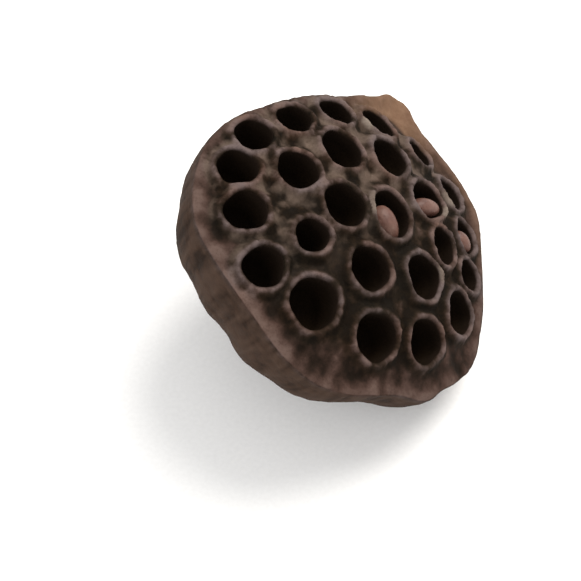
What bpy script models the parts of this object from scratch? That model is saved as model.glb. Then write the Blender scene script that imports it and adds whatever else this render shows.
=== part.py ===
"""A dried lotus pod lying on its cup: one woody receptacle with open seed cells, and the nuts left in it.

The pod is worked out upright, with its stem down the Z axis and the crown of its face on top.
Bearings turn about that axis and start on the side that the pod leans to. Polar angles start
at the crown. The finished pieces are then leaned over and set down on Z = 0.
"""

import math

import bmesh
import bpy
from mathutils import Matrix, Vector, noise
from mathutils.bvhtree import BVHTree
from mathutils.geometry import delaunay_2d_cdt

MM = 0.001
MERGE = 1e-9

# Driving dimensions
DOME_RADIUS = 82.6 * MM
RIM_RADIUS = 45.5 * MM
CUP_DEPTH = 36 * MM
CUP_FULLNESS = 1.75
STEM_RADIUS = 4.8 * MM
LEAN = math.radians(34.7)
FOOT_CUT = 0.5 * MM

# The rim isn't round: (bearing in degrees, radius in millimetres), read off the photograph
RIM_OUTLINE = (
    (0, 42.4), (9, 43.6), (18, 45.0), (34, 46.2), (46, 46.0), (58, 46.8), (69, 50.4), (78, 44.4), (86, 41.0),
    (97, 37.4), (118, 36.4), (138, 37.8), (156, 42.2), (172, 44.4), (194, 45.6), (212, 43.8), (228, 43.2),
    (246, 44.8), (264, 45.8), (282, 44.2), (292, 44.4), (303, 46.8), (312, 46.4), (330, 48.1), (343, 45.3),
)
# How far the margin turns up over the dome at the rim, in millimetres at a bearing: most at one lobe
RIM_RISE = (
    (0, 0.3), (18, 1.3), (29, 1.8), (50, 1.0), (58, 1.4), (69, 3.3), (78, 1.2), (90, 0.0), (140, 0.0),
    (200, 0.0), (270, 0.0), (330, 0.0),
)
RISE_REACH = 8 * MM

# Seed cells, ring by ring: (bearing, polar angle, mouth along the ring, mouth across it), degrees and mm
CROWN_CELLS = (
    (17, 4.3, 13.2, 11.6),
    (183, 5.9, 12.0, 12.2),
)
MIDDLE_CELLS = (
    (1, 17.6, 10.8, 9.0),
    (31, 16.0, 10.4, 12.4),
    (70, 15.2, 11.0, 12.2),
    (116, 13.1, 11.6, 12.0),
    (162, 15.6, 11.6, 11.2),
    (213, 14.4, 9.0, 9.2),
    (269, 10.9, 11.8, 11.6),
    (326, 14.7, 11.6, 11.8),
)
OUTER_CELLS = (
    (14, 26.2, 9.8, 9.0),
    (33, 26.8, 9.6, 9.4),
    (54, 26.0, 8.2, 9.4),
    (78, 24.0, 10.6, 8.8),
    (103, 22.4, 10.0, 8.8),
    (130, 22.2, 10.4, 9.2),
    (153, 25.2, 10.6, 10.0),
    (172, 26.0, 10.4, 10.8),
    (192, 24.7, 10.8, 11.4),
    (217, 25.2, 10.8, 11.0),
    (243, 22.2, 13.4, 13.2),
    (279, 22.6, 13.0, 12.4),
    (308, 24.6, 12.2, 11.8),
    (336, 26.0, 11.8, 11.6),
    (356, 26.0, 8.4, 8.6),
)
CELLS = CROWN_CELLS + MIDDLE_CELLS + OUTER_CELLS
CELL_SIDES = 20
CELL_DEPTH = 13.5 * MM
# How the wall of a cell runs down: (share of the depth, share of the mouth's size)
CELL_PROFILE = ((0.28, 1.02), (0.74, 0.9), (0.96, 0.5))
CELL_SPLAY = 0.6
MOUTH_WOBBLE = 0.035

# Relief of the face: a raised lip round each mouth, with creases where the lips' skirts meet
LIP_WIDTH = 0.9 * MM
LIP_HEIGHT = 1.9 * MM
LIP_SKIRT = 1.5 * MM
CREASE_DEPTH = 0.5 * MM
CREASE_WIDTH = 1.6 * MM
CREASE_REACH = 3.6 * MM
RIM_LIP_HEIGHT = 1.3 * MM
RIM_LIP_WIDTH = 2.4 * MM
FACE_SPACING = 2.1 * MM
UNDULATION = 0.5 * MM
UNDULATION_SIZE = 14 * MM

# Relief of the cup: a bulge under each outer cell, and ribs that run down to the stem, bolder where it rests
CUP_SIDES = 90
CUP_ROWS = 11
CELL_BULGE = 0.5 * MM
CELL_BULGE_SPREAD = math.radians(8)
RIB_COUNT = 14
RIB_HEIGHT = 0.9 * MM
RIB_FAINT = 0.4
RIB_BOLD_SPREAD = math.radians(50)
RIB_PHASE = math.radians(11)
RIM_ROUNDING = 0.5 * MM
NECK_DROP = 3.5 * MM
NECK_SPREAD = 4.0 * MM

# Nuts lodged across their cells: (name, index into CELLS, then in mm length, thickness, and depth and shift
# of the middle, then in degrees bearing of the lodged end, its dip, and bearing of the shift)
NUTS = (
    ("nut_crown", 0, 10.2, 6.8, 2.4, 0.6, 312, 8, 216),
    ("nut_middle", 3, 10.0, 5.4, 0.8, 1.2, 18, 0, 274),
    ("nut_outer", 10, 7.0, 5.2, 0.6, 0.5, 336, 0, 246),
)
NUT_GAP = 0.3 * MM
NUT_STEP = 0.02 * MM
NUT_SIDES = 16
NUT_RINGS = 9

RIM_POLAR = math.asin(RIM_RADIUS / DOME_RADIUS)
RIM_PLANE = DOME_RADIUS * math.cos(RIM_POLAR)


def around(points, bearing):
    """The smooth closed curve through (degrees, value) points, read at a bearing in radians."""
    degrees = math.degrees(bearing) % 360
    count = len(points)
    after = next((i for i, p in enumerate(points) if p[0] > degrees), count)
    spots = []
    for step in (-2, -1, 0, 1):
        turns, index = divmod(after + step, count)
        spots.append((points[index][0] + 360 * turns, points[index][1]))
    (_, v0), (a1, v1), (a2, v2), (_, v3) = spots
    t = (degrees - a1) / (a2 - a1)
    return 0.5 * (
        2 * v1 + (v2 - v0) * t
        + (2 * v0 - 5 * v1 + 4 * v2 - v3) * t * t
        + (3 * v1 - v0 - 3 * v2 + v3) * t * t * t
    )


def rim_radius(bearing):
    return around(RIM_OUTLINE, bearing) * MM


def rim_reach(bearing):
    """The rim's distance from the crown, measured along the dome."""
    return DOME_RADIUS * math.asin(rim_radius(bearing) / DOME_RADIUS)


def flat_point(bearing, reach):
    return Vector((reach * math.cos(bearing), reach * math.sin(bearing)))


def dome_normal(flat):
    reach = flat.length
    polar = reach / DOME_RADIUS
    outward = flat / reach if reach > 0 else Vector((1, 0))
    side = math.sin(polar)
    return Vector((outward.x * side, outward.y * side, math.cos(polar)))


def dome_point(flat, lift=0.0):
    """A point of the face: flat is its place on the dome rolled out flat, and lift its height over it."""
    point = dome_normal(flat) * (DOME_RADIUS + lift)
    point.z -= RIM_PLANE
    return point


class Cell:
    """One seed cell: the centre of its mouth on the rolled-out face, its outline and its axis."""

    def __init__(self, index, bearing, polar, along, across):
        self.bearing = math.radians(bearing)
        self.centre = flat_point(self.bearing, DOME_RADIUS * math.radians(polar))
        self.half_along = along * MM / 2
        self.half_across = across * MM / 2
        self.phase = index * 2.4
        self.normal = dome_normal(self.centre)
        self.axis = (self.normal * CELL_SPLAY + Vector((0, 0, 1 - CELL_SPLAY))).normalized()
        outward = Vector((math.cos(self.bearing), math.sin(self.bearing), 0))
        self.ring_way = Vector((-outward.y, outward.x, 0))
        self.out_way = self.ring_way.cross(self.axis)

    def mouth_radius(self, angle):
        """The mouth's half-width at an angle counted from the outward direction."""
        along, across = self.half_along, self.half_across
        plain = along * across / math.hypot(along * math.cos(angle), across * math.sin(angle))
        wobble = math.cos(3 * angle + self.phase) + 0.6 * math.cos(5 * angle - 2 * self.phase)
        return plain * (1 + MOUTH_WOBBLE * wobble)

    def gap(self, flat):
        """How far outside the mouth's edge a rolled-out point lies; negative inside."""
        offset = flat - self.centre
        angle = math.atan2(offset.y, offset.x) - self.bearing
        return offset.length - self.mouth_radius(angle)

    def ring(self, grow):
        """Rolled-out points round the mouth, a distance outside its edge."""
        points = []
        for i in range(CELL_SIDES):
            angle = 2 * math.pi * i / CELL_SIDES
            points.append(self.centre + flat_point(angle + self.bearing, self.mouth_radius(angle) + grow))
        return points


def lip(gap):
    """Height of a lip and its skirt, a distance outside the mouth's edge."""
    if gap < LIP_WIDTH:
        return LIP_HEIGHT * (1 - 0.35 * (1 - gap / LIP_WIDTH) ** 2)
    return LIP_HEIGHT * math.exp(-(((gap - LIP_WIDTH) / LIP_SKIRT) ** 1.4))


def rim_rise(bearing, to_rim):
    """How far the margin turns up, a distance inside the rim."""
    share = max(0.0, min(1.0, 1 - to_rim / RISE_REACH))
    return max(0.0, around(RIM_RISE, bearing)) * MM * share * share * (3 - 2 * share)


def relief(flat, cells):
    """Height of the face over the plain dome."""
    gaps = sorted(max(cell.gap(flat), 0.0) for cell in cells)
    bearing = math.atan2(flat.y, flat.x)
    to_rim = rim_reach(bearing) - flat.length
    edge = RIM_LIP_HEIGHT * math.exp(-((to_rim / RIM_LIP_WIDTH) ** 2))
    height = (lip(gaps[0]) ** 4 + lip(gaps[1]) ** 4 + edge**4) ** 0.25
    crease = math.exp(-(((gaps[1] - gaps[0]) / CREASE_WIDTH) ** 2) - (gaps[0] / CREASE_REACH) ** 4)
    height -= CREASE_DEPTH * crease * min(1.0, gaps[0] / LIP_WIDTH)
    swell = noise.noise(Vector((flat.x, flat.y, 0.3)) / UNDULATION_SIZE)
    return height + UNDULATION * swell + rim_rise(bearing, to_rim)


def inside(polygon, point):
    """Whether a point lies inside a polygon, by counting the sides that a ray crosses."""
    crossed = False
    for a, b in zip(polygon, polygon[1:] + polygon[:1]):
        if (a.y > point.y) != (b.y > point.y):
            if point.x < a.x + (point.y - a.y) * (b.x - a.x) / (b.y - a.y):
                crossed = not crossed
    return crossed


def fill_points(cells, loops):
    """Rolled-out points for the lips' crests, then for the face between, on a staggered grid."""
    placed = [point for loop in loops for point in loop]
    kept = []

    def offer(point, room):
        if all((point - other).length > room for other in placed):
            placed.append(point)
            kept.append(point)

    for cell in cells:
        for point in cell.ring(LIP_WIDTH):
            offer(point, 0.6 * LIP_WIDTH)
    reach = max(point.length for point in loops[0])
    row_step = FACE_SPACING * math.sqrt(3) / 2
    rows = int(reach / row_step) + 1
    columns = int(reach / FACE_SPACING) + 1
    for row in range(-rows, rows + 1):
        for column in range(-columns, columns + 1):
            offer(Vector(((column + 0.5 * (row % 2)) * FACE_SPACING, row * row_step)), 0.6 * FACE_SPACING)
    return [p for p in kept if inside(loops[0], p) and not any(inside(mouth, p) for mouth in loops[1:])]


def build_face(shell, cells):
    """Adds the face, and returns the vertices of its rim and of each mouth, in order."""
    bearings = [2 * math.pi * i / CUP_SIDES for i in range(CUP_SIDES)]
    loops = [[flat_point(b, rim_reach(b)) for b in bearings]] + [cell.ring(0.0) for cell in cells]
    flats = []
    edges = []
    names = []
    for loop in loops:
        name = list(range(len(flats), len(flats) + len(loop)))
        flats.extend(loop)
        edges.extend(zip(name, name[1:] + name[:1]))
        names.append(name)
    flats.extend(fill_points(cells, loops))

    joined = delaunay_2d_cdt(flats, edges, [], 0, MERGE)
    points, triangles, sources = joined[0], joined[2], joined[3]
    made = [shell.add(dome_point(p, relief(p, cells))) for p in points]
    vertex_of = {source: made[i] for i, merged in enumerate(sources) for source in merged}
    for corners in triangles:
        middle = sum((points[i] for i in corners), Vector((0, 0))) / 3
        if inside(loops[0], middle) and not any(inside(mouth, middle) for mouth in loops[1:]):
            shell.face([made[i] for i in corners])
    rim, *mouths = [[vertex_of[i] for i in name] for name in names]
    return rim, mouths


class Shell:
    """The vertices and faces of one solid, as they are added."""

    def __init__(self):
        self.points = []
        self.faces = []

    def add(self, point):
        self.points.append(Vector(point))
        return len(self.points) - 1

    def face(self, corners):
        self.faces.append(tuple(corners))

    def band(self, upper, lower):
        """Joins two rings of as many vertices, both anticlockwise seen from the upper side."""
        for i in range(len(upper)):
            j = (i + 1) % len(upper)
            self.face((upper[i], lower[i], lower[j]))
            self.face((upper[i], lower[j], upper[j]))

    def cap(self, ring, point):
        centre = self.add(point)
        for i in range(len(ring)):
            self.face((ring[i], centre, ring[(i + 1) % len(ring)]))


def build_cell(shell, cell, mouth):
    """Adds a cell's wall and floor, down from its mouth."""
    centre = dome_point(cell.centre)
    rings = [mouth]
    for depth, size in CELL_PROFILE:
        ring = []
        for corner in mouth:
            offset = shell.points[corner] - centre
            across = offset - cell.axis * offset.dot(cell.axis)
            ring.append(shell.add(centre - cell.axis * CELL_DEPTH * depth + across * size))
        rings.append(ring)
    for upper, lower in zip(rings, rings[1:]):
        shell.band(lower, upper)
    bottom = shell.add(centre - cell.axis * CELL_DEPTH)
    last = rings[-1]
    for i in range(len(last)):
        shell.face((last[i], last[(i + 1) % len(last)], bottom))


def cup_bulge(bearing, turn, cells):
    """How far the cup stands out at a bearing; turn runs from 0 at the rim to a quarter turn at the stem."""
    near = 0.0
    for cell in cells[-len(OUTER_CELLS):]:
        off = (bearing - cell.bearing + math.pi) % (2 * math.pi) - math.pi
        near += math.exp(-((off / CELL_BULGE_SPREAD) ** 2))
    upper = math.sin(min(2.2 * turn, math.pi)) ** 2
    lower = math.sin(2 * turn) ** 2
    lean_side = (bearing + math.pi) % (2 * math.pi) - math.pi
    rib = RIB_HEIGHT * (RIB_FAINT + (1 - RIB_FAINT) * math.exp(-((lean_side / RIB_BOLD_SPREAD) ** 2)))
    return CELL_BULGE * near * upper + rib * math.cos(RIB_COUNT * (bearing - RIB_PHASE)) * lower


def build_cup(shell, rim, cells):
    """Adds the cup from the rim down to the neck, and returns the neck's ring."""
    rings = [rim]
    power = 2 / CUP_FULLNESS
    for row in range(1, CUP_ROWS + 1):
        turn = 0.5 * math.pi * (row / CUP_ROWS) ** 0.9
        ring = []
        for i, corner in enumerate(rim):
            bearing = 2 * math.pi * i / CUP_SIDES
            edge = shell.points[corner]
            radius = (edge.xy.length + RIM_ROUNDING - STEM_RADIUS) * max(math.cos(turn), 0.0) ** power
            out = radius + STEM_RADIUS + cup_bulge(bearing, turn, cells)
            neck = NECK_DROP * math.exp(-radius / NECK_SPREAD)
            drop = CUP_DEPTH * math.sin(turn) ** power + neck
            high = edge.z * (1 - math.sin(turn) ** power)
            ring.append(shell.add((out * math.cos(bearing), out * math.sin(bearing), high - drop)))
        rings.append(ring)
    for upper, lower in zip(rings, rings[1:]):
        shell.band(upper, lower)
    return rings[-1]


LEAN_OVER = Matrix.Rotation(LEAN, 3, "Y")


def build_pod(cells):
    """The whole receptacle as one upright shell, and the shift that centres it over Z = 0 once leaned over.

    The stub of the stem is cut where its lower edge comes level with the cup's lowest ribs.
    """
    shell = Shell()
    rim, mouths = build_face(shell, cells)
    for cell, mouth in zip(cells, mouths):
        build_cell(shell, cell, mouth)
    neck = build_cup(shell, rim, cells)
    leaned = [LEAN_OVER @ point for point in shell.points]
    ground = min(point.z for point in leaned)
    middle = [(min(p[axis] for p in leaned) + max(p[axis] for p in leaned)) / 2 for axis in (0, 1)]
    cut = (-ground - STEM_RADIUS * math.sin(LEAN)) / math.cos(LEAN)
    end = [shell.add((shell.points[i].x, shell.points[i].y, -cut)) for i in neck]
    shell.band(neck, end)
    shell.cap(end, (0, 0, -cut))
    return shell, Vector((-middle[0], -middle[1], -ground - FOOT_CUT))


def make_material(name, colour, roughness):
    material = bpy.data.materials.new(name)
    material.use_nodes = True
    shader = material.node_tree.nodes["Principled BSDF"]
    shader.inputs["Base Color"].default_value = (*colour, 1)
    shader.inputs["Roughness"].default_value = roughness
    shader.inputs["Metallic"].default_value = 0
    return material


def make_object(name, shell, shift, material, foot=False):
    """One named object from an upright shell; with a foot, what reaches below Z = 0 is cut off flat."""
    mesh = bpy.data.meshes.new(name)
    mesh.from_pydata([LEAN_OVER @ p + shift for p in shell.points], [], shell.faces)
    work = bmesh.new()
    work.from_mesh(mesh)
    loose = [v for v in work.verts if not v.link_faces]
    bmesh.ops.delete(work, geom=loose, context="VERTS")
    if foot:
        everything = work.verts[:] + work.edges[:] + work.faces[:]
        bmesh.ops.bisect_plane(
            work, geom=everything, dist=1e-6, plane_co=(0, 0, 0), plane_no=(0, 0, 1), clear_inner=True
        )
        open_edges = [e for e in work.edges if e.is_boundary]
        bmesh.ops.holes_fill(work, edges=open_edges, sides=0)
    bmesh.ops.recalc_face_normals(work, faces=work.faces[:])
    bmesh.ops.triangulate(work, faces=[f for f in work.faces if len(f.verts) > 3])
    work.to_mesh(mesh)
    work.free()
    mesh.materials.append(material)
    mesh.shade_smooth()
    mesh.set_sharp_from_angle(angle=math.radians(50))
    made = bpy.data.objects.new(name, mesh)
    bpy.context.scene.collection.objects.link(made)
    return made


def flat_way(cell, bearing):
    """The direction across a cell that a bearing gives, square to its axis."""
    way = Vector((math.cos(bearing), math.sin(bearing), 0))
    return (way - cell.axis * way.dot(cell.axis)).normalized()


def build_nut(cell, husk, sizes, turns):
    """An ovoid nut with a blunt tip, lying across its cell and slid along itself until it meets the wall."""
    length, thickness, depth, shift = (size * MM for size in sizes)
    towards, dip, shift_way = (math.radians(turn) for turn in turns)
    shell = Shell()
    radius = thickness / 2
    way = flat_way(cell, towards) * math.cos(dip) - cell.axis * math.sin(dip)
    middle = dome_point(cell.centre) - cell.axis * depth + flat_way(cell, shift_way) * shift
    foot = middle - way * length / 2
    side = way.cross(cell.axis).normalized()
    other = way.cross(side)
    rings = []
    for row in range(1, NUT_RINGS):
        turn = math.pi * row / NUT_RINGS
        along = 0.5 * length * (1 - math.cos(turn))
        out = radius * math.sin(turn) ** 0.85 * (1 + 0.10 * math.cos(turn))
        ring = []
        for i in range(NUT_SIDES):
            angle = 2 * math.pi * i / NUT_SIDES
            across = side * math.cos(angle) + other * math.sin(angle)
            ring.append(shell.add(foot + way * along + across * out))
        rings.append(ring)
    for lower, upper in zip(rings, rings[1:]):
        shell.band(upper, lower)
    shell.cap(rings[0], foot)
    tip = shell.add(foot + way * length)
    top = rings[-1]
    for i in range(len(top)):
        shell.face((top[i], top[(i + 1) % len(top)], tip))
    while min(husk.find_nearest(point)[3] for point in shell.points) > NUT_GAP:
        shell.points = [point + way * NUT_STEP for point in shell.points]
    return shell


def clear_scene():
    for thing in list(bpy.data.objects):
        bpy.data.objects.remove(thing)


def main():
    clear_scene()
    husk_skin = make_material("dried_husk", (0.15, 0.10, 0.075), 0.8)
    nut_skin = make_material("dried_nut", (0.28, 0.17, 0.13), 0.55)
    cells = [Cell(i, *row) for i, row in enumerate(CELLS)]
    pod, shift = build_pod(cells)
    make_object("pod", pod, shift, husk_skin, foot=True)
    husk_walls = BVHTree.FromPolygons(pod.points, pod.faces)
    for name, index, *shape in NUTS:
        nut = build_nut(cells[index], husk_walls, shape[:4], shape[4:])
        make_object(name, nut, shift, nut_skin)


main()
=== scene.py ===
"""Dresses the dried lotus pod: wrinkled husk with open seed cells, and the nuts left in them."""

import math

import bpy
from mathutils import Matrix, Vector, noise
from mathutils.geometry import delaunay_2d_cdt


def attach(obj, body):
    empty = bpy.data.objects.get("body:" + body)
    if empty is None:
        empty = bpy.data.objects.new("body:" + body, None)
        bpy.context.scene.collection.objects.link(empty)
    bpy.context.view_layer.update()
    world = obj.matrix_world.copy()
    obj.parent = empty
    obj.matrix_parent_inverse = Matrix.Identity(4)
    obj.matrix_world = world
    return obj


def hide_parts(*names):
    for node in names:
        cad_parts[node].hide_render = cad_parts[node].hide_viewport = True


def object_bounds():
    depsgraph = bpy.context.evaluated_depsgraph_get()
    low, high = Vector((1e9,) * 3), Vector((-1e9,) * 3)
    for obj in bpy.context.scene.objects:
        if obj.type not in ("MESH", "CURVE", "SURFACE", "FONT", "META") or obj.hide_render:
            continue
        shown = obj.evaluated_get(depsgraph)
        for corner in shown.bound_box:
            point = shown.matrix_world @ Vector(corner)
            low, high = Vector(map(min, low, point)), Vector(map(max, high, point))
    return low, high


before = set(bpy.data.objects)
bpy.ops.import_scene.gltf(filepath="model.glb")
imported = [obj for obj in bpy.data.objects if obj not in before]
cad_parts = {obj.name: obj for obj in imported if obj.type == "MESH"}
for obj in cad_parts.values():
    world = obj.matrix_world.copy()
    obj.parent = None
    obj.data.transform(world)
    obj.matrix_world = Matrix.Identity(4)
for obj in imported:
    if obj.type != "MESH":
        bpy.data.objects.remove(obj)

CAD_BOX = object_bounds()

MM = 0.001
MERGE = 1e-9

# Design values shared with the part's source
DOME_RADIUS = 82.6 * MM
RIM_RADIUS = 45.5 * MM
CUP_DEPTH = 36 * MM
CUP_FULLNESS = 1.75
STEM_RADIUS = 4.8 * MM
LEAN = math.radians(34.7)
SHIFT = Vector((2.0929, -1.5424, 37.9980)) * MM
STEM_CUT = 43.50 * MM

RIM_OUTLINE = (
    (0, 42.4), (9, 43.6), (18, 45.0), (34, 46.2), (46, 46.0), (58, 46.8), (69, 50.4), (78, 44.4), (86, 41.0),
    (97, 37.4), (118, 36.4), (138, 37.8), (156, 42.2), (172, 44.4), (194, 45.6), (212, 43.8), (228, 43.2),
    (246, 44.8), (264, 45.8), (282, 44.2), (292, 44.4), (303, 46.8), (312, 46.4), (330, 48.1), (343, 45.3),
)
RIM_RISE = (
    (0, 0.3), (18, 1.3), (29, 1.8), (50, 1.0), (58, 1.4), (69, 3.3), (78, 1.2), (90, 0.0), (140, 0.0),
    (200, 0.0), (270, 0.0), (330, 0.0),
)
RISE_REACH = 8 * MM
CROWN_CELLS = (
    (17, 4.3, 13.2, 11.6),
    (183, 5.9, 12.0, 12.2),
)
MIDDLE_CELLS = (
    (1, 17.6, 10.8, 9.0),
    (31, 16.0, 10.4, 12.4),
    (70, 15.2, 11.0, 12.2),
    (116, 13.1, 11.6, 12.0),
    (162, 15.6, 11.6, 11.2),
    (213, 14.4, 9.0, 9.2),
    (269, 10.9, 11.8, 11.6),
    (326, 14.7, 11.6, 11.8),
)
OUTER_CELLS = (
    (14, 26.2, 9.8, 9.0),
    (33, 26.8, 9.6, 9.4),
    (54, 26.0, 8.2, 9.4),
    (78, 24.0, 10.6, 8.8),
    (103, 22.4, 10.0, 8.8),
    (130, 22.2, 10.4, 9.2),
    (153, 25.2, 10.6, 10.0),
    (172, 26.0, 10.4, 10.8),
    (192, 24.7, 10.8, 11.4),
    (217, 25.2, 10.8, 11.0),
    (243, 22.2, 13.4, 13.2),
    (279, 22.6, 13.0, 12.4),
    (308, 24.6, 12.2, 11.8),
    (336, 26.0, 11.8, 11.6),
    (356, 26.0, 8.4, 8.6),
)
CELLS = CROWN_CELLS + MIDDLE_CELLS + OUTER_CELLS
CELL_DEPTH = 13.5 * MM
CELL_PROFILE = ((0.0, 1.0), (0.28, 1.02), (0.74, 0.9), (0.96, 0.5), (1.0, 0.0))
CELL_SPLAY = 0.6
MOUTH_WOBBLE = 0.035
LIP_WIDTH = 0.9 * MM
LIP_HEIGHT = 1.9 * MM
LIP_SKIRT = 1.5 * MM
CREASE_DEPTH = 0.5 * MM
CREASE_WIDTH = 1.6 * MM
CREASE_REACH = 3.6 * MM
RIM_LIP_HEIGHT = 1.3 * MM
RIM_LIP_WIDTH = 2.4 * MM
UNDULATION = 0.5 * MM
UNDULATION_SIZE = 14 * MM
CELL_BULGE = 0.5 * MM
CELL_BULGE_SPREAD = math.radians(8)
RIB_COUNT = 14
RIB_HEIGHT = 0.9 * MM
RIB_FAINT = 0.4
RIB_BOLD_SPREAD = math.radians(50)
RIB_PHASE = math.radians(11)
RIM_ROUNDING = 0.5 * MM
NECK_DROP = 3.5 * MM
NECK_SPREAD = 4.0 * MM
NUT_NODES = ("nut_crown", "nut_middle", "nut_outer")

# Fine relief that the dressing adds to the face and the cup
FOLD_HEIGHT = 0.34 * MM
ROUGH_HEIGHT = 0.20 * MM
ROUGH_SIZE = 3.2 * MM
GRAIN_HEIGHT = 0.06 * MM
GRAIN_SIZE = 0.9 * MM
FLAP_HEIGHT = 0.6 * MM
CUP_WRINKLE = 0.45 * MM
CUP_THREAD = 0.24 * MM
CUP_POCK = 0.22 * MM
CUP_POCK_SIZE = 5 * MM
NUT_WRINKLE = 0.12 * MM
NUT_WRINKLE_SIZE = 2.5 * MM

# How far off a cell still shapes the face, and the gap that stands for a cell that is farther than that
CELL_NEAR = 16 * MM
NO_CELL_GAP = 14 * MM
FACE_NEAR = 22 * MM

# Where folds, moats of painted shade and open ground lie, by the gap to the nearest mouth, and the margin
# inside the rim
SKIRT_FOLDS = (2.2 * MM, 1.7 * MM)
MOAT_SHADE = (2.5 * MM, 1.0 * MM)
OPEN_GROUND = (2.4 * MM, 4.6 * MM)
MARGIN_START = 3.4 * MM
MARGIN_SOFTNESS = 0.6 * MM
MARGIN_WIDTH = 13 * MM
MARGIN_FADE = 5 * MM
PATCH_SIZE = 4.4 * MM
PATCH_SHIFT = Vector((-5 * MM, 3 * MM, 0))

# Where the lips are worn down, where the side facing the key light gets painted light, where a painted
# highlight lies along the rim in a paler band and where its lobe is tan (degrees), and the torn flaps:
# (cell, angle round its mouth, its spread, middle and width in mm outside the mouth's edge)
WORN_BEARING = math.radians(125)
LIT_SIDE_BEARING = math.radians(35)
RIM_HIGHLIGHT_BEARING = math.radians(222)
RIM_HIGHLIGHT_SPREAD = math.radians(42)
RIM_HIGHLIGHT_WIDTH = 4.2 * MM
RIM_HIGHLIGHT_FADE = 1.6 * MM
WORN_SPAN = (-14 * MM, 16 * MM)
LIT_SIDE_SPAN = (-4 * MM, 16 * MM)
TAN_BEARING = 69
TAN_SPREAD = 17
TAN_SIDE_BEARING = 34
TAN_SIDE_SPREAD = 22
TORN_FLAPS = (
    (0, 2.72, 0.42, 0.7, 1.2),
    (13, 2.36, 0.30, 1.0, 1.0),
    (3, 5.6, 0.30, 0.6, 0.8),
    (11, 3.4, 0.45, 0.8, 0.9),
    (9, 1.1, 0.35, 0.7, 0.8),
)

# How finely the dressed pod is made
CELL_SIDES = 52
CELL_ROWS = 14
LIP_RINGS = (0.3, 0.6, 0.9, 1.25, 1.7, 2.2)
FACE_SPACING = 0.62 * MM
CUP_SIDES = 260
CUP_ROWS = 90
ROW_CROWDING = 1.25
LAST_RING_DEPTH = 0.97
BOTTOM_DEPTH = 0.985
WRINKLE_FADE_ROWS = 10
CUP_FADE_ROWS = 8
RIM_CLEARANCE = 0.35 * MM
EDGE_BAND = 0.3 * MM
STEM_ROWS = 8
STEM_CUT_RINGS = (0.86, 0.6, 0.3)

RIM_PLANE = DOME_RADIUS * math.cos(math.asin(RIM_RADIUS / DOME_RADIUS))
LEAN_OVER = Matrix.Rotation(LEAN, 3, "Y")

# The photograph's view
MM_PER_PIXEL = 0.259
IMAGE_SIZE = 581
DOME_CENTRE_PIXEL = (189, 344)
VIEW_ELEVATION = math.radians(60.6)
VIEW_DISTANCE = 752 * MM
VIEW_DEPTH = 48 * MM
SENSOR = 36.0

# The stage: (name, place, size in metres, watts, colour) of each light, all aimed at the pod's middle
FLOOR_HALF = 1.5
LIGHT_TARGET = (0, 0, 0.035)
LIGHTS = (
    ("key", (0.30, 0.30, 0.66), 0.6, 8.0, (1.0, 0.97, 0.92)),
    ("fill", (-0.5, -0.35, 0.5), 0.5, 2.0, (0.97, 0.98, 1.0)),
)


def around(points, bearing):
    """The smooth closed curve through (degrees, value) points, read at a bearing in radians."""
    degrees = math.degrees(bearing) % 360
    count = len(points)
    after = next((i for i, p in enumerate(points) if p[0] > degrees), count)
    spots = []
    for step in (-2, -1, 0, 1):
        turns, index = divmod(after + step, count)
        spots.append((points[index][0] + 360 * turns, points[index][1]))
    (_, v0), (a1, v1), (a2, v2), (_, v3) = spots
    t = (degrees - a1) / (a2 - a1)
    return 0.5 * (
        2 * v1 + (v2 - v0) * t
        + (2 * v0 - 5 * v1 + 4 * v2 - v3) * t * t
        + (3 * v1 - v0 - 3 * v2 + v3) * t * t * t
    )


RIM_STEPS = 1440
RIM_TABLE = [
    DOME_RADIUS * math.asin(around(RIM_OUTLINE, 2 * math.pi * i / RIM_STEPS) * MM / DOME_RADIUS)
    for i in range(RIM_STEPS)
]


def rim_reach(bearing):
    """The rim's distance from the crown, measured along the dome."""
    place = (bearing / (2 * math.pi)) % 1.0 * RIM_STEPS
    low = int(place) % RIM_STEPS
    share = place - int(place)
    return RIM_TABLE[low] * (1 - share) + RIM_TABLE[(low + 1) % RIM_STEPS] * share


def flat_point(bearing, reach):
    return Vector((reach * math.cos(bearing), reach * math.sin(bearing)))


def dome_normal(flat):
    reach = flat.length
    polar = reach / DOME_RADIUS
    outward = flat / reach if reach > 0 else Vector((1, 0))
    side = math.sin(polar)
    return Vector((outward.x * side, outward.y * side, math.cos(polar)))


def dome_point(flat, lift=0.0):
    point = dome_normal(flat) * (DOME_RADIUS + lift)
    point.z -= RIM_PLANE
    return point


def layered(point, size, octaves=4):
    """Fractal noise from about -1 to 1 at a feature size in metres."""
    return noise.fractal(Vector(point) / size, 0.6, 2.1, octaves)


def ring_noise(turns, bearing, along):
    """Noise that closes on itself round a bearing, finer where turns is larger."""
    return noise.noise(Vector((turns * math.cos(bearing), turns * math.sin(bearing), along)))


def turn_between(angle, other):
    """The signed turn between two angles, from -pi to pi."""
    return (angle - other + math.pi) % (2 * math.pi) - math.pi


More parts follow.
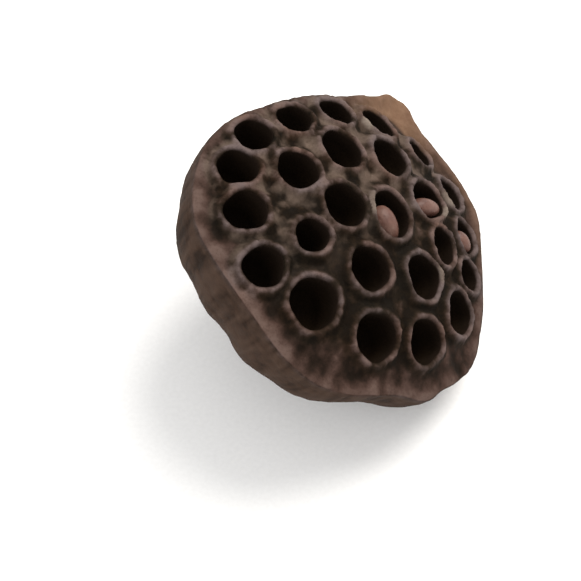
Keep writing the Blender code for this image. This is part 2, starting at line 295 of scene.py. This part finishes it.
class Cell:
    """One seed cell: the centre of its mouth on the flattened face, its outline and its axis."""

    def __init__(self, index, bearing, polar, along, across):
        self.index = index
        self.bearing = math.radians(bearing)
        self.centre = flat_point(self.bearing, DOME_RADIUS * math.radians(polar))
        self.half_along = along * MM / 2
        self.half_across = across * MM / 2
        self.phase = index * 2.4
        self.normal = dome_normal(self.centre)
        self.axis = (self.normal * CELL_SPLAY + Vector((0, 0, 1 - CELL_SPLAY))).normalized()

    def mouth_radius(self, angle):
        along, across = self.half_along, self.half_across
        plain = along * across / math.hypot(along * math.cos(angle), across * math.sin(angle))
        wobble = math.cos(3 * angle + self.phase) + 0.6 * math.cos(5 * angle - 2 * self.phase)
        return plain * (1 + MOUTH_WOBBLE * wobble)

    def polar(self, flat):
        """(gap outside the mouth's edge, angle counted from the outward direction)."""
        offset = flat - self.centre
        angle = math.atan2(offset.y, offset.x) - self.bearing
        return offset.length - self.mouth_radius(angle), angle

    def lip_strength(self, angle):
        """How tall the lip stands at an angle, about 1, lower where it is worn."""
        spot = Vector((math.cos(angle), math.sin(angle), self.index * 3.7)) * 1.3
        fine = Vector((math.cos(angle), math.sin(angle), self.index * 5.1)) * 4.5
        return 1.0 + 0.20 * noise.noise(spot) + 0.10 * noise.noise(fine)


def lip(gap):
    if gap < LIP_WIDTH:
        return LIP_HEIGHT * (1 - 0.35 * (1 - gap / LIP_WIDTH) ** 2)
    return LIP_HEIGHT * math.exp(-(((gap - LIP_WIDTH) / LIP_SKIRT) ** 1.4))


def rim_rise(bearing, to_rim):
    """How far the margin turns up, a distance inside the rim."""
    share = max(0.0, min(1.0, 1 - to_rim / RISE_REACH))
    return max(0.0, around(RIM_RISE, bearing)) * MM * share * share * (3 - 2 * share)


def bump_at(value, middle, spread):
    return math.exp(-(((value - middle) / spread) ** 2))


def step_up(value, low, high):
    share = max(0.0, min(1.0, (value - low) / (high - low)))
    return share * share * (3 - 2 * share)


def torn(index, angle, gap):
    """The pale torn flaps that stand on a few lips, from 0 to 1."""
    most = 0.0
    for cell, middle, spread, out, width in TORN_FLAPS:
        if cell == index:
            off = turn_between(angle, middle)
            most = max(most, bump_at(off, 0, spread) * bump_at(gap, out * MM, width * MM))
    return most


def nearest_cells(flat, cells):
    """(gap, angle, index) of the two nearest cells."""
    near = []
    for cell in cells:
        offset = flat - cell.centre
        if offset.length < CELL_NEAR:
            near.append((*cell.polar(flat), cell.index))
    near.sort()
    while len(near) < 2:
        near.append((NO_CELL_GAP, 0.0, 0))
    return near[:2]


def relief(flat, cells):
    """(height of the face over the plain dome, {mask: value}) at a flattened point."""
    (gap, angle, index), (other, other_angle, other_index) = nearest_cells(flat, cells)
    gap = max(gap, 0.0)
    other = max(other, 0.0)
    bearing = math.atan2(flat.y, flat.x)
    to_rim = rim_reach(bearing) - flat.length
    edge = RIM_LIP_HEIGHT * math.exp(-((to_rim / RIM_LIP_WIDTH) ** 2))
    strength = cells[index].lip_strength(angle)
    other_strength = cells[other_index].lip_strength(other_angle)
    width = 1.0 + 0.9 * (strength - 1.0)
    first, second = lip(gap / width) * strength, lip(other)
    height = (first**4 + second**4 + edge**4) ** 0.25
    worn = step_up(flat.dot(flat_point(WORN_BEARING, 1.0)), *WORN_SPAN)
    crease = math.exp(-(((other - gap) / CREASE_WIDTH) ** 2) - (gap / CREASE_REACH) ** 4)
    crease *= min(1.0, gap / LIP_WIDTH)
    height -= CREASE_DEPTH * crease * (1.25 - 0.9 * worn)
    height += UNDULATION * noise.noise(Vector((flat.x, flat.y, 0.3)) / UNDULATION_SIZE)
    height += rim_rise(bearing, to_rim)

    # Folds that run down the skirts, and across the margin to the rim
    spot = Vector((flat.x, flat.y, 0.3 * MM))
    skirt = bump_at(gap, *SKIRT_FOLDS)
    height += FOLD_HEIGHT * skirt * ring_noise(5.5, angle, index * 2.9 + gap / (5 * MM))
    margin = 1 / (1 + math.exp(-(gap - MARGIN_START) / MARGIN_SOFTNESS))
    pleat = ring_noise(13, bearing, flat.length / (9 * MM))
    height += FOLD_HEIGHT * margin * pleat
    rough = layered(spot, ROUGH_SIZE)
    height += ROUGH_HEIGHT * rough + GRAIN_HEIGHT * layered(spot + Vector((9, 4, 2)), GRAIN_SIZE, 3)
    flap = torn(index, angle, gap)
    height += FLAP_HEIGHT * flap

    # What the colour follows: the lips' crests, uneven along each lip, and the open ground between them. The
    # crest value is partly painted light, with highlights on the lips' crests and the rim and shade in the
    # creases and moats, laid over the husk's own mottled tone
    uneven = max(0.0, min(1.2, 0.70 + 2.4 * (strength - 1.0)))
    other_uneven = max(0.0, min(1.2, 0.70 + 2.4 * (other_strength - 1.0)))
    # Painted highlight: paler on the lips' crests and where two lips meet
    lit = max(
        bump_at(gap, 0.8 * MM, 0.95 * MM * width) * uneven,
        bump_at(other, 0.8 * MM, 0.95 * MM) * other_uneven,
    )
    shared = bump_at(other, gap, 1.5 * MM) * bump_at(gap, 0.9 * MM, 0.9 * MM)
    # Painted shade: a dark ring round the foot of each lip
    moat_shade = bump_at(gap, *MOAT_SHADE) * bump_at(other, gap + 3 * MM, 3.4 * MM)
    far = step_up(gap, *OPEN_GROUND) * step_up(MARGIN_WIDTH - to_rim, 0, MARGIN_FADE)
    patch = noise.noise((spot + PATCH_SHIFT) / PATCH_SIZE) + 0.25 * rough
    # Painted light: paler on the side that faces the key light
    lit_side = step_up(flat.dot(flat_point(LIT_SIDE_BEARING, 1.0)), *LIT_SIDE_SPAN) * (1 - far)
    # Painted highlight: a paler band along the rim on one side
    off_rim_highlight = turn_between(bearing, RIM_HIGHLIGHT_BEARING)
    rim_highlight = bump_at(off_rim_highlight, 0, RIM_HIGHLIGHT_SPREAD) * step_up(RIM_HIGHLIGHT_WIDTH - to_rim, 0, RIM_HIGHLIGHT_FADE)
    # The weights were set against the photo
    crest = 0.14 + 0.64 * lit + 0.30 * shared * (0.3 + worn)
    crest += (0.26 * rough + 0.30 * patch * (0.4 + worn)) * (1 - 0.55 * far) + 0.05 * far
    # Painted shade: darker in the creases between lips and in the moats round their feet
    crest -= (0.34 * crease + 0.22 * moat_shade) * (1.15 - worn)
    # Painted highlight: the second term makes a paler band along the rim's crest
    crest += 0.45 * far * pleat + 0.36 * bump_at(to_rim, 0.2 * MM, 1.9 * MM)
    # Painted light on the side facing the key light
    crest += 0.19 * lit_side
    # Painted highlight along the rim
    crest += 0.34 * rim_highlight
    masks = {
        "crest": max(0.0, min(1.0, crest)),
        "ground": worn * step_up(gap, 0.7 * MM, 2.2 * MM) * (1 - far) * step_up(patch, -0.22, 0.34),
        "margin": far,
        "tan": tan_mask(bearing, to_rim),
        "torn": flap,
    }
    return height, masks


class Shell:
    """The vertices, faces and per-vertex masks of one piece."""

    MASKS = ("crest", "ground", "margin", "inner", "tan", "torn", "cup")

    def __init__(self):
        self.points = []
        self.faces = []
        self.masks = {name: [] for name in self.MASKS}

    def add(self, point, **masks):
        self.points.append(Vector(point))
        for name in self.MASKS:
            self.masks[name].append(masks.get(name, 0.0))
        return len(self.points) - 1

    def face(self, corners):
        self.faces.append(tuple(corners))

    def band(self, upper, lower):
        for i in range(len(upper)):
            j = (i + 1) % len(upper)
            self.face((upper[i], lower[i], lower[j], upper[j]))

    def cap(self, ring, point, **masks):
        centre = self.add(point, **masks)
        for i in range(len(ring)):
            self.face((ring[i], centre, ring[(i + 1) % len(ring)]))


def inside(polygon, point):
    crossed = False
    for a, b in zip(polygon, polygon[1:] + polygon[:1]):
        if (a.y > point.y) != (b.y > point.y):
            if point.x < a.x + (point.y - a.y) * (b.x - a.x) / (b.y - a.y):
                crossed = not crossed
    return crossed


def nearest_gaps(flat, cells):
    near = [cell for cell in cells if (flat - cell.centre).length < FACE_NEAR]
    return sorted((cell.polar(flat)[0], cell.index) for cell in near) or [(FACE_NEAR, -1)]


def tan_mask(bearing, to_rim):
    """The margin that the sun has bleached tan: widest at the lobe of the rim, and narrow past it."""
    degrees = math.degrees(bearing) % 360
    lobe = bump_at(degrees, TAN_BEARING, TAN_SPREAD) * step_up(9.5 * MM - to_rim, 0, 4 * MM)
    side = bump_at(degrees, TAN_SIDE_BEARING, TAN_SIDE_SPREAD) * step_up(3.0 * MM - to_rim, 0, 2.4 * MM)
    return max(lobe, 0.45 * side)


def build_face(shell, cells):
    flats = []
    edges = []
    loops = []
    rim_ring = [flat_point(b, rim_reach(b)) for b in bearings()]
    for ring in [rim_ring] + [mouth_ring(cell, 0.0) for cell in cells]:
        name = list(range(len(flats), len(flats) + len(ring)))
        flats.extend(ring)
        edges.extend(zip(name, name[1:] + name[:1]))
        loops.append(name)

    outer = max(LIP_RINGS) * MM
    for cell in cells:
        last = 0.0
        for n, grow in enumerate(LIP_RINGS):
            grow *= MM
            turn = 0.5 * (n % 2 + 1)
            for point in mouth_ring(cell, grow, turn):
                others = [g for g, i in nearest_gaps(point, cells) if i != cell.index]
                to_rim = rim_reach(math.atan2(point.y, point.x)) - point.length
                if others and others[0] < grow + 0.25 * (grow - last):
                    continue
                if to_rim > RIM_CLEARANCE:
                    flats.append(point)
            last = grow
    reach = max(RIM_TABLE)
    row_step = FACE_SPACING * math.sqrt(3) / 2
    rows = int(reach / row_step) + 1
    columns = int(reach / FACE_SPACING) + 1
    for row in range(-rows, rows + 1):
        for column in range(-columns, columns + 1):
            flat = Vector(((column + 0.5 * (row % 2)) * FACE_SPACING, row * row_step))
            if flat.length > rim_reach(math.atan2(flat.y, flat.x)) - 0.55 * FACE_SPACING:
                continue
            if nearest_gaps(flat, cells)[0][0] > outer + 0.5 * FACE_SPACING:
                flats.append(flat)

    joined = delaunay_2d_cdt(flats, edges, [], 0, MERGE)
    points, triangles, sources = joined[0], joined[2], joined[3]
    made = []
    for p in points:
        height, masks = relief(p, cells)
        made.append(shell.add(dome_point(p, height), **masks))
    vertex_of = {source: made[i] for i, merged in enumerate(sources) for source in merged}
    rim_loop = [flats[i] for i in loops[0]]
    mouth_loops = [[flats[i] for i in loop] for loop in loops[1:]]
    for corners in triangles:
        middle = (points[corners[0]] + points[corners[1]] + points[corners[2]]) / 3
        if middle.length > rim_reach(math.atan2(middle.y, middle.x)) - EDGE_BAND:
            if not inside(rim_loop, middle):
                continue
        gap, index = nearest_gaps(middle, cells)[0]
        if gap < EDGE_BAND and index >= 0 and inside(mouth_loops[index], middle):
            continue
        shell.face([made[i] for i in corners])
    rim, *mouths = [[vertex_of[i] for i in loop] for loop in loops]
    return rim, mouths


def bearings():
    return [2 * math.pi * i / CUP_SIDES for i in range(CUP_SIDES)]


def mouth_ring(cell, grow, turn=0.0):
    points = []
    for i in range(CELL_SIDES):
        angle = 2 * math.pi * (i + turn) / CELL_SIDES
        points.append(cell.centre + flat_point(angle + cell.bearing, cell.mouth_radius(angle) + grow))
    return points


def profile_size(depth):
    """The width of a cell at a share of its depth, as a share of its mouth, on a smooth curve."""
    for (d0, s0), (d1, s1) in zip(CELL_PROFILE, CELL_PROFILE[1:]):
        if depth <= d1:
            t = (depth - d0) / (d1 - d0)
            return s0 + (s1 - s0) * t
    return 0.0


def build_cell(shell, cell, mouth):
    centre = dome_point(cell.centre)
    upper = mouth
    for row in range(1, CELL_ROWS):
        depth = LAST_RING_DEPTH * (row / (CELL_ROWS - 0.5)) ** ROW_CROWDING
        size = profile_size(depth)
        ring = []
        for i, corner in enumerate(mouth):
            offset = shell.points[corner] - centre
            rise = offset.dot(cell.axis)
            across = offset - cell.axis * rise
            angle = 2 * math.pi * i / CELL_SIDES
            grain = ring_noise(7, angle, cell.index * 4.3 + 2 * depth)
            point = centre + across * (size * (1 - 0.02 * abs(grain)))
            point += cell.axis * (rise * max(0.0, 1 - depth * 6) - CELL_DEPTH * depth)
            ring.append(shell.add(point, crest=0.35 * (1 - depth), inner=min(1.0, 0.25 + depth * 1.6)))
        shell.band(ring, upper)
        upper = ring
    bottom = shell.add(centre - cell.axis * CELL_DEPTH * BOTTOM_DEPTH, inner=1.0)
    for i in range(len(upper)):
        shell.face((upper[i], upper[(i + 1) % len(upper)], bottom))


def cup_bulge(bearing, turn, cells):
    near = 0.0
    for cell in cells[-len(OUTER_CELLS):]:
        off = turn_between(bearing, cell.bearing)
        near += math.exp(-((off / CELL_BULGE_SPREAD) ** 2))
    upper = math.sin(min(2.2 * turn, math.pi)) ** 2
    lower = math.sin(2 * turn) ** 2
    lean_side = turn_between(bearing, 0.0)
    rib = RIB_HEIGHT * (RIB_FAINT + (1 - RIB_FAINT) * math.exp(-((lean_side / RIB_BOLD_SPREAD) ** 2)))
    return CELL_BULGE * near * upper + rib * math.cos(RIB_COUNT * (bearing - RIB_PHASE)) * lower


def build_cup(shell, rim, cells):
    upper = rim
    power = 2 / CUP_FULLNESS
    for row in range(1, CUP_ROWS + 1):
        turn = 0.5 * math.pi * (row / CUP_ROWS) ** ROW_CROWDING
        ring = []
        for corner, bearing in zip(rim, bearings()):
            edge = shell.points[corner]
            radius = (edge.xy.length + RIM_ROUNDING - STEM_RADIUS) * max(math.cos(turn), 0.0) ** power
            out = radius + STEM_RADIUS + cup_bulge(bearing, turn, cells)
            neck = NECK_DROP * math.exp(-radius / NECK_SPREAD)
            drop = CUP_DEPTH * math.sin(turn) ** power + neck
            high = edge.z * (1 - math.sin(turn) ** power)
            # Fine lengthwise wrinkles, always inwards so that the outline stays as it is
            fade = min(1.0, row / WRINKLE_FADE_ROWS) * min(1.0, radius / (6 * MM) + 0.25)
            long_way = turn * 1.3
            wrinkle = ring_noise(11, bearing, long_way)
            thread = ring_noise(27, bearing, 2.2 * long_way + 7)
            spot = Vector((out * math.cos(bearing), out * math.sin(bearing), high - drop))
            pock = layered(spot, CUP_POCK_SIZE)
            inward = CUP_WRINKLE * abs(wrinkle) + CUP_THREAD * abs(thread) + CUP_POCK * max(0.0, pock)
            inward *= fade
            out -= inward
            tan = tan_mask(bearing, 0.0) * max(0.0, 1 - turn)
            point = (out * math.cos(bearing), out * math.sin(bearing), high - drop)
            # Painted shade: darker where the wrinkles and threads sink in
            crest = 0.62 - 0.5 * inward / (0.5 * MM) - 0.4 * abs(thread)
            cup = min(1.0, row / CUP_FADE_ROWS)
            ring.append(shell.add(point, crest=max(0.0, crest), tan=tan, cup=cup))
        shell.band(upper, ring)
        upper = ring
    return upper


def build_pod(cells):
    shell = Shell()
    rim, mouths = build_face(shell, cells)
    for cell, mouth in zip(cells, mouths):
        build_cell(shell, cell, mouth)
    neck = build_cup(shell, rim, cells)
    upper = neck
    for row in range(1, STEM_ROWS + 1):
        share = row / STEM_ROWS
        ring = []
        for i, bearing in zip(neck, bearings()):
            grain = abs(ring_noise(6, bearing, 3 * share))
            radius = STEM_RADIUS * (1 - 0.05 * grain)
            high = shell.points[i].z * (1 - share) - STEM_CUT * share
            point = (radius * math.cos(bearing), radius * math.sin(bearing), high)
            ring.append(shell.add(point, crest=0.3, cup=1.0))
        shell.band(upper, ring)
        upper = ring
    for share in STEM_CUT_RINGS:
        ring = []
        for i in upper:
            point = shell.points[i]
            flat = Vector((point.x, point.y)).normalized() * STEM_RADIUS * share
            pit = 0.35 * MM * abs(layered((flat.x, flat.y, 0), 1.4 * MM, 2))
            ring.append(shell.add((flat.x, flat.y, -STEM_CUT + pit), crest=0.7, cup=1.0))
        shell.band(upper, ring)
        upper = ring
    shell.cap(upper, (0, 0, -STEM_CUT + 0.1 * MM), crest=0.6, cup=1.0)
    return shell


def link(name, mesh):
    made = bpy.data.objects.new(name, mesh)
    bpy.context.scene.collection.objects.link(made)
    return made


def make_pod(material):
    cells = [Cell(i, *row) for i, row in enumerate(CELLS)]
    shell = build_pod(cells)
    low, high = (Vector(corner) for corner in CAD_BOX)
    placed = []
    for point in shell.points:
        spot = LEAN_OVER @ point + SHIFT
        placed.append(Vector(max(a, min(b, c)) for a, b, c in zip(low, high, spot)))
    mesh = bpy.data.meshes.new("lotus_pod")
    mesh.from_pydata(placed, [], shell.faces)
    for name, values in shell.masks.items():
        layer = mesh.attributes.new(name, "FLOAT", "POINT")
        layer.data.foreach_set("value", values)
    mesh.materials.append(material)
    mesh.shade_smooth()
    mesh.update()
    print("pod triangles", sum(len(f) - 2 for f in shell.faces))
    pod = link("lotus_pod", mesh)
    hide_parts("pod")
    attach(pod, "root")
    return pod


def make_nut(node, material):
    """The CAD nut, rounded off and slightly wrinkled."""
    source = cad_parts[node]
    mesh = source.data.copy()
    mesh.name = node + "_shell"
    nut = link(node + "_shell", mesh)
    weld = nut.modifiers.new("weld", "WELD")
    weld.merge_threshold = 0.00001
    smooth = nut.modifiers.new("smooth", "SUBSURF")
    smooth.levels = 2
    smooth.render_levels = 2
    bpy.context.view_layer.update()
    rounded = bpy.data.meshes.new_from_object(nut.evaluated_get(bpy.context.evaluated_depsgraph_get()))
    nut.modifiers.clear()
    nut.data = rounded
    middle = sum((v.co for v in rounded.vertices), Vector()) / len(rounded.vertices)
    for v in rounded.vertices:
        away = (v.co - middle).normalized()
        v.co -= away * NUT_WRINKLE * (0.5 + 0.5 * layered(v.co, NUT_WRINKLE_SIZE, 3))
    rounded.materials.clear()
    rounded.materials.append(material)
    rounded.shade_smooth()
    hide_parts(node)
    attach(nut, "root")
    return nut


class Nodes:
    """A small helper that adds and joins shader nodes."""

    def __init__(self, name):
        self.material = bpy.data.materials.new(name)
        self.material.use_nodes = True
        self.tree = self.material.node_tree
        self.shader = self.tree.nodes["Principled BSDF"]

    def add(self, kind, **settings):
        node = self.tree.nodes.new(kind)
        for key, value in settings.items():
            setattr(node, key, value)
        return node

    def join(self, source, target):
        self.tree.links.new(source, target)

    def mask(self, name):
        return self.add("ShaderNodeAttribute", attribute_name=name).outputs["Fac"]

    def noise(self, scale, detail=5.0, roughness=0.6, stretch=None):
        texture = self.add("ShaderNodeTexNoise")
        texture.inputs["Scale"].default_value = scale
        texture.inputs["Detail"].default_value = detail
        texture.inputs["Roughness"].default_value = roughness
        place = self.add("ShaderNodeTexCoord").outputs["Object"]
        if stretch:
            mapping = self.add("ShaderNodeMapping")
            mapping.inputs["Scale"].default_value = stretch
            self.join(place, mapping.inputs["Vector"])
            place = mapping.outputs["Vector"]
        self.join(place, texture.inputs["Vector"])
        return texture.outputs["Fac"]

    def ramp(self, source, stops):
        ramp = self.add("ShaderNodeValToRGB")
        elements = ramp.color_ramp.elements
        while len(elements) < len(stops):
            elements.new(0.5)
        for element, (place, colour) in zip(elements, stops):
            element.position = place
            element.color = (*colour, 1)
        self.join(source, ramp.inputs["Fac"])
        return ramp.outputs["Color"]

    def grey(self, source, low, high, out_low=0.0, out_high=1.0):
        spread = self.add("ShaderNodeMapRange")
        spread.inputs["From Min"].default_value = low
        spread.inputs["From Max"].default_value = high
        spread.inputs["To Min"].default_value = out_low
        spread.inputs["To Max"].default_value = out_high
        self.join(source, spread.inputs["Value"])
        return spread.outputs["Result"]

    def mix(self, share, first, second, way="MIX"):
        mix = self.add("ShaderNodeMix", data_type="RGBA", blend_type=way)
        sockets = [s for s in mix.inputs if s.enabled]
        for socket, value in zip(sockets, (share, first, second)):
            if isinstance(value, (int, float)):
                socket.default_value = value
            elif isinstance(value, tuple):
                socket.default_value = (*value, 1)
            else:
                self.join(value, socket)
        return next(s for s in mix.outputs if s.enabled)

    def maths(self, way, first, second):
        node = self.add("ShaderNodeMath", operation=way)
        for socket, value in zip(node.inputs, (first, second)):
            if isinstance(value, (int, float)):
                socket.default_value = value
            else:
                self.join(value, socket)
        return node.outputs[0]


def husk_material():
    n = Nodes("dried_husk_wrinkled")
    broad = n.noise(70, 4, 0.55)
    mottle = n.noise(320, 6, 0.65)
    speck = n.noise(1500, 4, 0.7)
    # The crest mask carries painted highlights on the crests, the rim and the key-lit side, and painted
    # shade in the creases, moats and cup grooves. The mottle adds the husk's own tone
    uneven = n.maths("ADD", n.mask("crest"), n.grey(mottle, 0.3, 0.7, -0.17, 0.17))
    skin = n.ramp(
        uneven,
        (
            (0.0, (0.0060, 0.0042, 0.0026)),
            (0.15, (0.0115, 0.0078, 0.0048)),
            (0.34, (0.0215, 0.0142, 0.0102)),
            (0.60, (0.0540, 0.0385, 0.0350)),
            (0.88, (0.0980, 0.0735, 0.0700)),
        ),
    )
    warm = n.mix(1.0, skin, (1.15, 0.86, 0.66), "MULTIPLY")
    skin = n.mix(n.grey(broad, 0.42, 0.66, 0.0, 0.7), skin, warm)
    beige = n.ramp(mottle, ((0.3, (0.066, 0.0455, 0.0345)), (0.7, (0.124, 0.0915, 0.0720))))
    skin = n.mix(n.maths("MULTIPLY", n.mask("ground"), 0.78), skin, beige)
    fringe = n.ramp(
        uneven,
        (
            (0.0, (0.0095, 0.0058, 0.0038)),
            (0.22, (0.0230, 0.0130, 0.0095)),
            (0.50, (0.0500, 0.0290, 0.0230)),
            (0.85, (0.0860, 0.0560, 0.0460)),
        ),
    )
    skin = n.mix(n.maths("MULTIPLY", n.mask("margin"), 0.9), skin, fringe)
    specked = n.grey(speck, 0.50, 0.72, 0.0, 0.55)
    dark = n.mix(1.0, skin, (0.50, 0.46, 0.42), "MULTIPLY")
    skin = n.mix(specked, skin, dark)
    # The cup follows the same mask, so its grooves get painted shade
    cup = n.ramp(
        uneven,
        (
            (0.0, (0.017, 0.0095, 0.006)),
            (0.35, (0.044, 0.026, 0.018)),
            (0.8, (0.070, 0.044, 0.032)),
        ),
    )
    skin = n.mix(n.mask("cup"), skin, cup)
    tan = n.ramp(mottle, ((0.3, (0.115, 0.062, 0.037)), (0.7, (0.175, 0.106, 0.068))))
    skin = n.mix(n.maths("MULTIPLY", n.mask("tan"), 0.92), skin, tan)
    pale = n.ramp(mottle, ((0.35, (0.070, 0.050, 0.040)), (0.65, (0.165, 0.132, 0.110))))
    skin = n.mix(n.grey(n.mask("torn"), 0.16, 0.5), skin, pale)
    lining = n.ramp(
        n.mask("inner"),
        (
            (0.2, (0.014, 0.0085, 0.0058)),
            (0.6, (0.013, 0.0080, 0.0048)),
            (1.0, (0.015, 0.0090, 0.0050)),
        ),
    )
    skin = n.mix(n.grey(n.mask("inner"), 0.0, 0.3), skin, lining)
    n.join(skin, n.shader.inputs["Base Color"])
    n.join(n.grey(mottle, 0.3, 0.7, 0.66, 0.92), n.shader.inputs["Roughness"])
    n.shader.inputs["Specular IOR Level"].default_value = 0.05
    bump = n.add("ShaderNodeBump")
    bump.inputs["Strength"].default_value = 0.7
    bump.inputs["Distance"].default_value = 0.0003
    n.join(n.maths("ADD", mottle, n.maths("MULTIPLY", speck, 0.5)), bump.inputs["Height"])
    n.join(bump.outputs["Normal"], n.shader.inputs["Normal"])
    return n.material


def nut_material():
    n = Nodes("dried_nut_shell")
    broad = n.noise(230, 4, 0.6)
    speck = n.noise(1300, 5, 0.7)
    skin = n.ramp(
        broad,
        (
            (0.30, (0.072, 0.030, 0.022)),
            (0.50, (0.108, 0.050, 0.037)),
            (0.66, (0.132, 0.070, 0.053)),
            (0.76, (0.19, 0.132, 0.108)),
        ),
    )
    specked = n.grey(speck, 0.5, 0.75, 0.0, 0.5)
    dark = n.mix(1.0, skin, (0.55, 0.46, 0.42), "MULTIPLY")
    skin = n.mix(specked, skin, dark)
    n.join(skin, n.shader.inputs["Base Color"])
    n.join(n.grey(broad, 0.3, 0.7, 0.40, 0.62), n.shader.inputs["Roughness"])
    n.shader.inputs["Specular IOR Level"].default_value = 0.3
    bump = n.add("ShaderNodeBump")
    bump.inputs["Strength"].default_value = 0.5
    bump.inputs["Distance"].default_value = 0.0002
    n.join(speck, bump.inputs["Height"])
    n.join(bump.outputs["Normal"], n.shader.inputs["Normal"])
    return n.material


def make_stage():
    mesh = bpy.data.meshes.new("floor")
    half = FLOOR_HALF
    corners = [(-half, -half, 0), (half, -half, 0), (half, half, 0), (-half, half, 0)]
    mesh.from_pydata(corners, [], [(0, 1, 2, 3)])
    n = Nodes("pale_floor")
    grain = n.noise(900, 3, 0.5)
    n.join(n.ramp(grain, ((0.3, (0.86, 0.86, 0.86)), (0.7, (0.9, 0.9, 0.9)))), n.shader.inputs["Base Color"])
    n.shader.inputs["Roughness"].default_value = 0.9
    mesh.materials.append(n.material)
    floor = link("floor", mesh)


def area_light(name, place, size, energy, colour):
    data = bpy.data.lights.new(name, "AREA")
    data.shape = "DISK"
    data.size = size
    data.energy = energy
    data.color = colour
    light = link(name, data)
    light.location = place
    light.rotation_euler = (Vector(LIGHT_TARGET) - Vector(place)).to_track_quat("-Z", "Y").to_euler()


def make_lights():
    world = bpy.context.scene.world or bpy.data.worlds.new("studio")
    bpy.context.scene.world = world
    world.use_nodes = True
    background = world.node_tree.nodes["Background"]
    background.inputs["Color"].default_value = (1.0, 0.99, 0.97, 1)
    background.inputs["Strength"].default_value = 0.85
    for light in LIGHTS:
        area_light(*light)


def make_camera():
    towards = Vector((0, -math.cos(VIEW_ELEVATION), math.sin(VIEW_ELEVATION)))
    up = Vector((0, math.sin(VIEW_ELEVATION), math.cos(VIEW_ELEVATION)))
    right = Vector((1, 0, 0))
    dome_centre = LEAN_OVER @ Vector((0, 0, -RIM_PLANE)) + SHIFT
    scale = MM_PER_PIXEL * MM
    aim = dome_centre + right * (IMAGE_SIZE / 2 - DOME_CENTRE_PIXEL[0]) * scale
    aim += up * (DOME_CENTRE_PIXEL[1] - IMAGE_SIZE / 2) * scale + towards * VIEW_DEPTH
    data = bpy.data.cameras.new("photo_view")
    data.sensor_fit = "HORIZONTAL"
    data.sensor_width = SENSOR
    data.lens = SENSOR * VIEW_DISTANCE / (IMAGE_SIZE * scale)
    data.clip_start = 0.01
    data.clip_end = 10
    camera = link("photo_view", data)
    camera.location = aim + towards * VIEW_DISTANCE
    camera.rotation_euler = (math.pi / 2 - VIEW_ELEVATION, 0, 0)
    bpy.context.scene.camera = camera


bpy.context.scene.view_settings.view_transform = "Standard"
make_camera()
make_stage()
make_lights()
make_pod(husk_material())
nut_skin = nut_material()
for nut_node in NUT_NODES:
    make_nut(nut_node, nut_skin)
